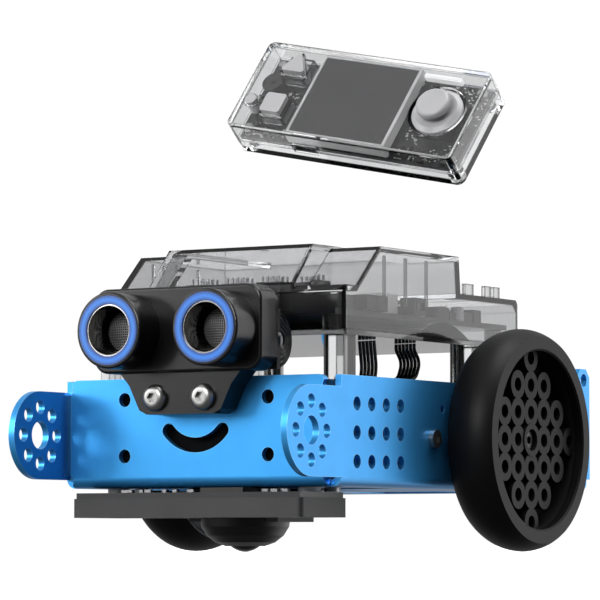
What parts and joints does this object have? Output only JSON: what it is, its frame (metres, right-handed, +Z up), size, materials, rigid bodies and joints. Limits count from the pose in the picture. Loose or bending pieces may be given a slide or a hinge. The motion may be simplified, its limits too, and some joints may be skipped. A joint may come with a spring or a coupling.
{
  "type": "two-wheel classroom robot",
  "caption": "Folded metal robot chassis with two lattice-hub wheels, ball caster, round-eyed distance sensor, clear electronics box and a lift-off hand controller.",
  "frame": {"origin": "on the floor under the middle of the robot's length and width", "axes": "+Z up, the robot looks along -Y, +X is its axle towards the wheel on the right of a front view"},
  "size_m": [0.127, 0.1768, 0.1553],
  "materials": {
    "blue_metal": "satin blue anodised aluminium",
    "steel": "bright zinc-plated steel",
    "motor_steel": "satin steel",
    "tyre_rubber": "smooth black rubber with a soft sheen",
    "hub_grey": "moulded dark grey plastic",
    "grey_plastic": "moulded grey plastic",
    "black_plastic": "moulded black plastic",
    "chrome": "polished metal",
    "ball_black": "polished black plastic",
    "frame_grey": "satin light grey plastic",
    "dark_steel": "blackened steel",
    "sensor_dark": "fine-grained dark grey plastic",
    "circuit_board": "black solder mask with pads",
    "clear_plastic": "clear polycarbonate",
    "white_nylon": "white nylon",
    "sensor_black": "satin black plastic",
    "blue_light": "lit blue light guide",
    "transducer_mesh": "fine dark metal mesh",
    "smoke_plastic": "smoke-tinted clear polycarbonate",
    "battery_wrap": "dark shrink wrap",
    "cable_black": "black silicone insulation",
    "switch_grey": "grey plastic",
    "screen_black": "dark display glass",
    "port_steel": "drawn steel",
    "button_grey": "satin light grey plastic"
  },
  "bodies": {
    "robot": {"chassis": "blue_metal", "chassis_screws": "steel", "eye_sensor_screws": "steel", "line_sensor_screws": "steel", "metal_standoffs": "steel", "right_motor_can": "motor_steel", "left_motor_can": "motor_steel", "right_motor_gearbox": "grey_plastic", "left_motor_gearbox": "grey_plastic", "caster_housing": "black_plastic", "motor_plugs": "black_plastic", "line_sensor_socket": "black_plastic", "eye_sensor_sockets": "black_plastic", "side_ports": "black_plastic", "servo_headers": "black_plastic", "power_switch_body": "black_plastic", "dock_connector": "black_plastic", "eye_rims": "chrome", "line_sensor_cover": "sensor_dark", "line_sensor_board": "circuit_board", "shield_board": "circuit_board", "line_sensor_lenses": "clear_plastic", "line_sensor_spacers": "white_nylon", "motor_sockets": "white_nylon", "eye_sensor_shell": "sensor_black", "eye_sensor_back": "sensor_black", "eye_light_rings": "blue_light", "transducers": "transducer_mesh", "shield_cover": "smoke_plastic", "shield_base": "smoke_plastic", "shield_legs": "smoke_plastic", "battery_pack": "battery_wrap", "eye_sensor_cable": "cable_black", "motor_cables": "cable_black", "line_sensor_cable": "cable_black"},
    "right_wheel": {"right_tyre": "tyre_rubber", "right_wheel_hub": "hub_grey", "right_axle_screw": "dark_steel", "right_drive_shaft": "motor_steel"},
    "left_wheel": {"left_tyre": "tyre_rubber", "left_wheel_hub": "hub_grey", "left_axle_screw": "dark_steel", "left_drive_shaft": "motor_steel"},
    "caster_ball": {"caster_ball": "ball_black"},
    "power_switch": {"power_switch_knob": "switch_grey"},
    "controller": {"controller_cover": "clear_plastic", "controller_back": "clear_plastic", "controller_board": "circuit_board", "controller_screen": "screen_black", "controller_screen_frame": "frame_grey", "controller_battery": "battery_wrap", "controller_usb_port": "port_steel", "controller_screws": "steel", "controller_dock_socket": "black_plastic", "joystick_base": "black_plastic"},
    "joystick_yoke": {"joystick_yoke": "button_grey"},
    "joystick_cap": {"joystick_cap": "button_grey"},
    "triangle_button": {"triangle_button": "button_grey"},
    "square_button": {"square_button": "button_grey"},
    "home_button": {"home_button": "button_grey"}
  },
  "joints": [
    {"name": "right_wheel_spin", "type": "hinge", "parent": "robot", "child": "right_wheel", "pos_m": [0.055, 0.0242, 0.0325], "axis": [1, 0, 0], "continuous": true},
    {"name": "left_wheel_spin", "type": "hinge", "parent": "robot", "child": "left_wheel", "pos_m": [-0.055, 0.0242, 0.0325], "axis": [1, 0, 0], "continuous": true},
    {"name": "caster_roll", "type": "hinge", "parent": "robot", "child": "caster_ball", "pos_m": [0, -0.0369, 0.0062], "axis": [1, 0, 0], "continuous": true},
    {"name": "power_switch_slide", "type": "slide", "parent": "robot", "child": "power_switch", "axis": [0, 1, 0], "range_m": [0, 0.0022]},
    {"name": "controller_dock", "type": "hinge", "parent": "robot", "child": "controller", "pos_m": [0, -0.01976, 0.09153], "axis": [0.9806, 0.1745, -0.0894], "range_deg": [-58.1, 0]},
    {"name": "joystick_tilt_front", "type": "hinge", "parent": "controller", "child": "joystick_yoke", "pos_m": [0.0348, 0.01491, 0.12812], "axis": [0.9819, 0.0048, -0.1895], "range_deg": [-10, 10], "stiffness_Nm_per_rad": 0.02},
    {"name": "joystick_tilt_side", "type": "hinge", "parent": "joystick_yoke", "child": "joystick_cap", "pos_m": [0.0348, 0.01491, 0.12812], "axis": [0.1566, 0.5427, 0.8252], "range_deg": [-10, 10], "stiffness_Nm_per_rad": 0.02},
    {"name": "triangle_button_press", "type": "slide", "parent": "controller", "child": "triangle_button", "axis": [-0.1068, 0.8399, -0.5321], "range_m": [0, 0.0008], "stiffness_N_per_m": 300},
    {"name": "square_button_press", "type": "slide", "parent": "controller", "child": "square_button", "axis": [-0.1068, 0.8399, -0.5321], "range_m": [0, 0.0008], "stiffness_N_per_m": 300},
    {"name": "home_button_press", "type": "slide", "parent": "controller", "child": "home_button", "axis": [-0.1068, 0.8399, -0.5321], "range_m": [0, 0.0004], "stiffness_N_per_m": 300}
  ]
}
